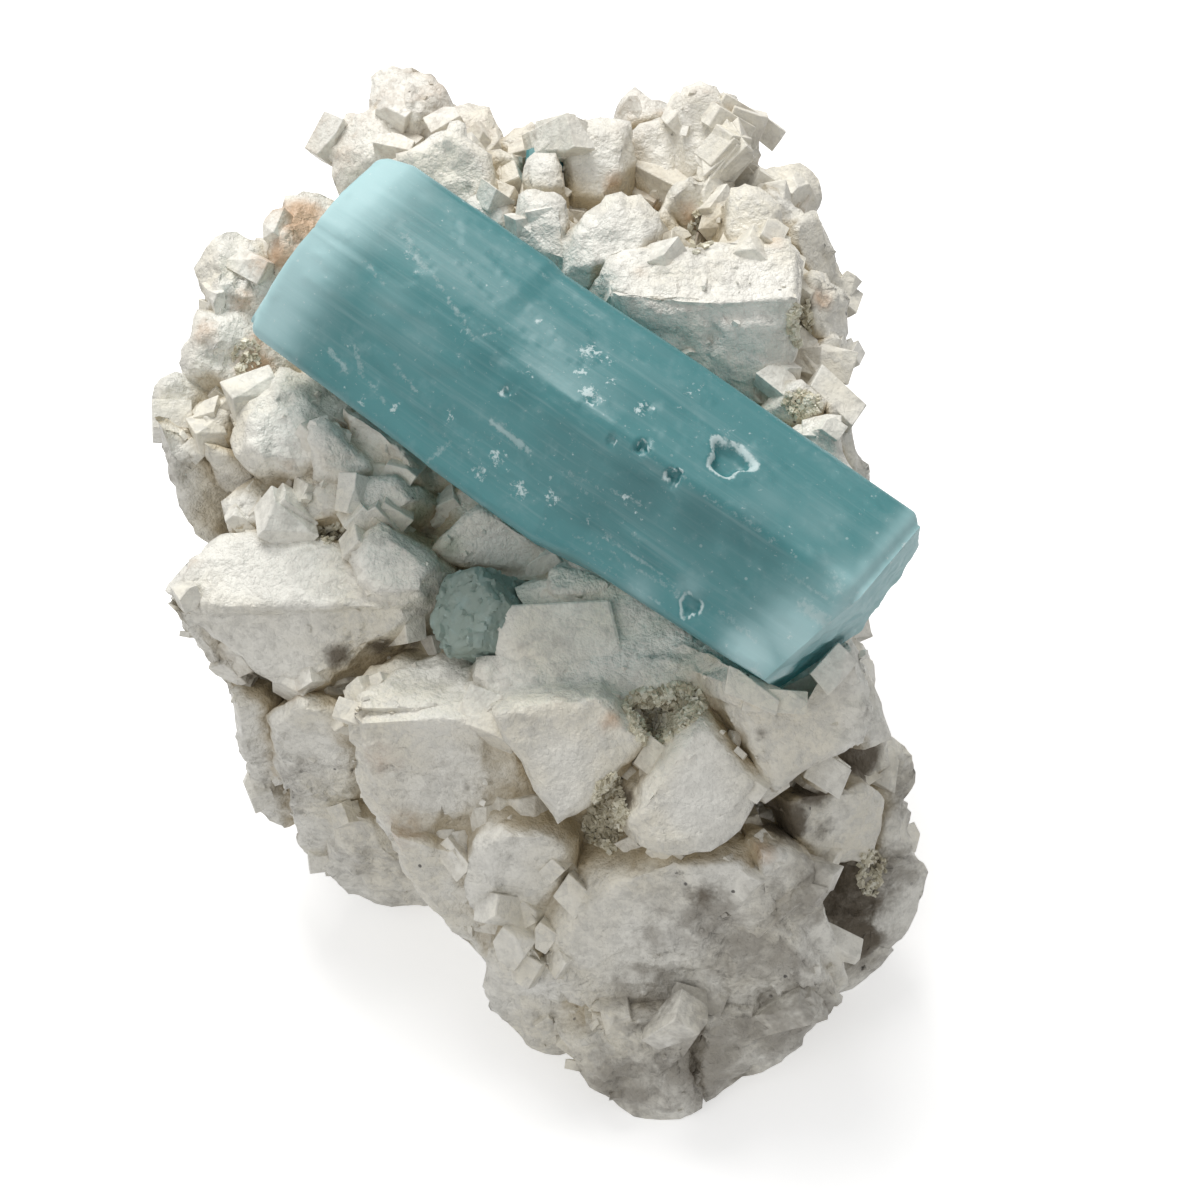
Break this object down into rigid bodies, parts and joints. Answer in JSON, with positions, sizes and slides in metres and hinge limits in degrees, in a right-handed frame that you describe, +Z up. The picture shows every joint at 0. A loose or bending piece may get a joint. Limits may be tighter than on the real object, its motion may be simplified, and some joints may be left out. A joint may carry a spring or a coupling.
{
  "type": "aquamarine crystal specimen",
  "caption": "Teal hexagonal aquamarine prism lying across a blocky white albite matrix, with a dark stub and a small blue tip of the same mineral set in the rock.",
  "frame": {"origin": "centre of the bounding box at the flat underside, which stands on a surface", "axes": "+Z up, away from the surface; -Y the display face, which leans back, with the large crystal running from the upper left (-X) to the lower right (+X)"},
  "size_m": [0.0886, 0.0992, 0.0838],
  "materials": {
    "albite": "rough, sugary white cleavage blocks with beige and grey-brown stain in the hollows",
    "aquamarine": "milky translucent teal beryl, satin prism faces with fine lengthwise striation and white veils",
    "aquamarine_dark": "dark grey-green beryl with a rough pitted end face",
    "aquamarine_pale": "pale blue translucent beryl"
  },
  "bodies": {
    "root": {"albite_matrix": "albite", "aquamarine_crystal": "aquamarine", "aquamarine_small_front": "aquamarine_dark", "aquamarine_small_back": "aquamarine_pale"}
  },
  "joints": []
}
